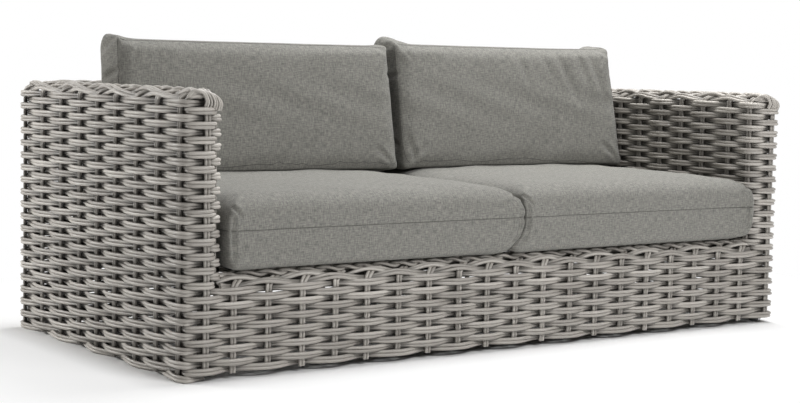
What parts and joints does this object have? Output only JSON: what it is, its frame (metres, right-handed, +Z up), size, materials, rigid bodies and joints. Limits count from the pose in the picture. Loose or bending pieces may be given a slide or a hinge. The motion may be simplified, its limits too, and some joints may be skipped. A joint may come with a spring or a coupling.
{
  "type": "rattan garden sofa",
  "caption": "Low rattan lounge sofa for the garden: woven arms, back and apron on a tube frame, with loose seat and back cushions that lift off.",
  "frame": {"origin": "on the floor, under the middle of the sofa's outline", "axes": "+Z up, +X along the length to the right as seen from the front, front faces -Y"},
  "size_m": [1.96, 0.955, 0.8213],
  "materials": {
    "wicker": "satin",
    "frame": "satin",
    "cushion_fabric": "matte",
    "foam": "matte",
    "zip_tape": "matte",
    "zip_metal": "satin",
    "feet": "matte"
  },
  "bodies": {
    "root": {"post_front_outer_left": "frame", "post_front_inner_left": "frame", "post_rear_outer_left": "frame", "post_rear_inner_left": "frame", "rail_arm_top_outer_left": "frame", "rail_arm_top_inner_left": "frame", "rail_base_side_left": "frame", "rail_seat_side_left": "frame", "post_front_outer_right": "frame", "post_front_inner_right": "frame", "post_rear_outer_right": "frame", "post_rear_inner_right": "frame", "rail_arm_top_outer_right": "frame", "rail_arm_top_inner_right": "frame", "rail_base_side_right": "frame", "rail_seat_side_right": "frame", "rail_base_front": "frame", "rail_base_rear": "frame", "rail_back_top_rear": "frame", "rail_back_top_front": "frame", "rail_seat_front": "frame", "rail_seat_rear": "frame", "seat_slat_1": "frame", "seat_slat_2": "frame", "seat_slat_3": "frame", "seat_slat_4": "frame", "seat_slat_5": "frame", "weave_arm_front_left": "wicker", "weave_arm_outer_left": "wicker", "weave_arm_inner_left": "wicker", "plait_arm_left": "wicker", "weave_arm_front_right": "wicker", "weave_arm_outer_right": "wicker", "weave_arm_inner_right": "wicker", "plait_arm_right": "wicker", "weave_back_outer": "wicker", "weave_back_inner": "wicker", "weave_apron": "wicker", "plait_back": "wicker", "plait_apron": "wicker", "foot_front_left": "feet", "foot_rear_left": "feet", "foot_front_right": "feet", "foot_rear_right": "feet"},
    "seat_cushion_left": {"seat_cushion_cover_left": "cushion_fabric", "seat_cushion_core_left": "foam", "seat_cushion_zip_left": "zip_tape"},
    "seat_slider_left": {"seat_zip_slider_left": "zip_metal"},
    "back_cushion_left": {"back_cushion_cover_left": "cushion_fabric", "back_cushion_core_left": "foam", "back_cushion_zip_left": "zip_tape"},
    "back_slider_left": {"back_zip_slider_left": "zip_metal"},
    "seat_cushion_right": {"seat_cushion_cover_right": "cushion_fabric", "seat_cushion_core_right": "foam", "seat_cushion_zip_right": "zip_tape"},
    "seat_slider_right": {"seat_zip_slider_right": "zip_metal"},
    "back_cushion_right": {"back_cushion_cover_right": "cushion_fabric", "back_cushion_core_right": "foam", "back_cushion_zip_right": "zip_tape"},
    "back_slider_right": {"back_zip_slider_right": "zip_metal"}
  },
  "joints": [
    {"name": "seat_cushion_left_lift", "type": "slide", "parent": "root", "child": "seat_cushion_left", "axis": [0, 0, 1], "range_m": [0, 0.45]},
    {"name": "seat_zip_left_slide", "type": "slide", "parent": "seat_cushion_left", "child": "seat_slider_left", "axis": [1, 0, 0], "range_m": [0, 0.47]},
    {"name": "back_cushion_left_lift", "type": "slide", "parent": "seat_cushion_left", "child": "back_cushion_left", "axis": [0, 0, 1], "range_m": [0, 0.26]},
    {"name": "back_zip_left_slide", "type": "slide", "parent": "back_cushion_left", "child": "back_slider_left", "axis": [1, 0, 0], "range_m": [0, 0.47]},
    {"name": "seat_cushion_right_lift", "type": "slide", "parent": "root", "child": "seat_cushion_right", "axis": [0, 0, 1], "range_m": [0, 0.45]},
    {"name": "seat_zip_right_slide", "type": "slide", "parent": "seat_cushion_right", "child": "seat_slider_right", "axis": [1, 0, 0], "range_m": [0, 0.47]},
    {"name": "back_cushion_right_lift", "type": "slide", "parent": "seat_cushion_right", "child": "back_cushion_right", "axis": [0, 0, 1], "range_m": [0, 0.26]},
    {"name": "back_zip_right_slide", "type": "slide", "parent": "back_cushion_right", "child": "back_slider_right", "axis": [1, 0, 0], "range_m": [0, 0.47]}
  ]
}
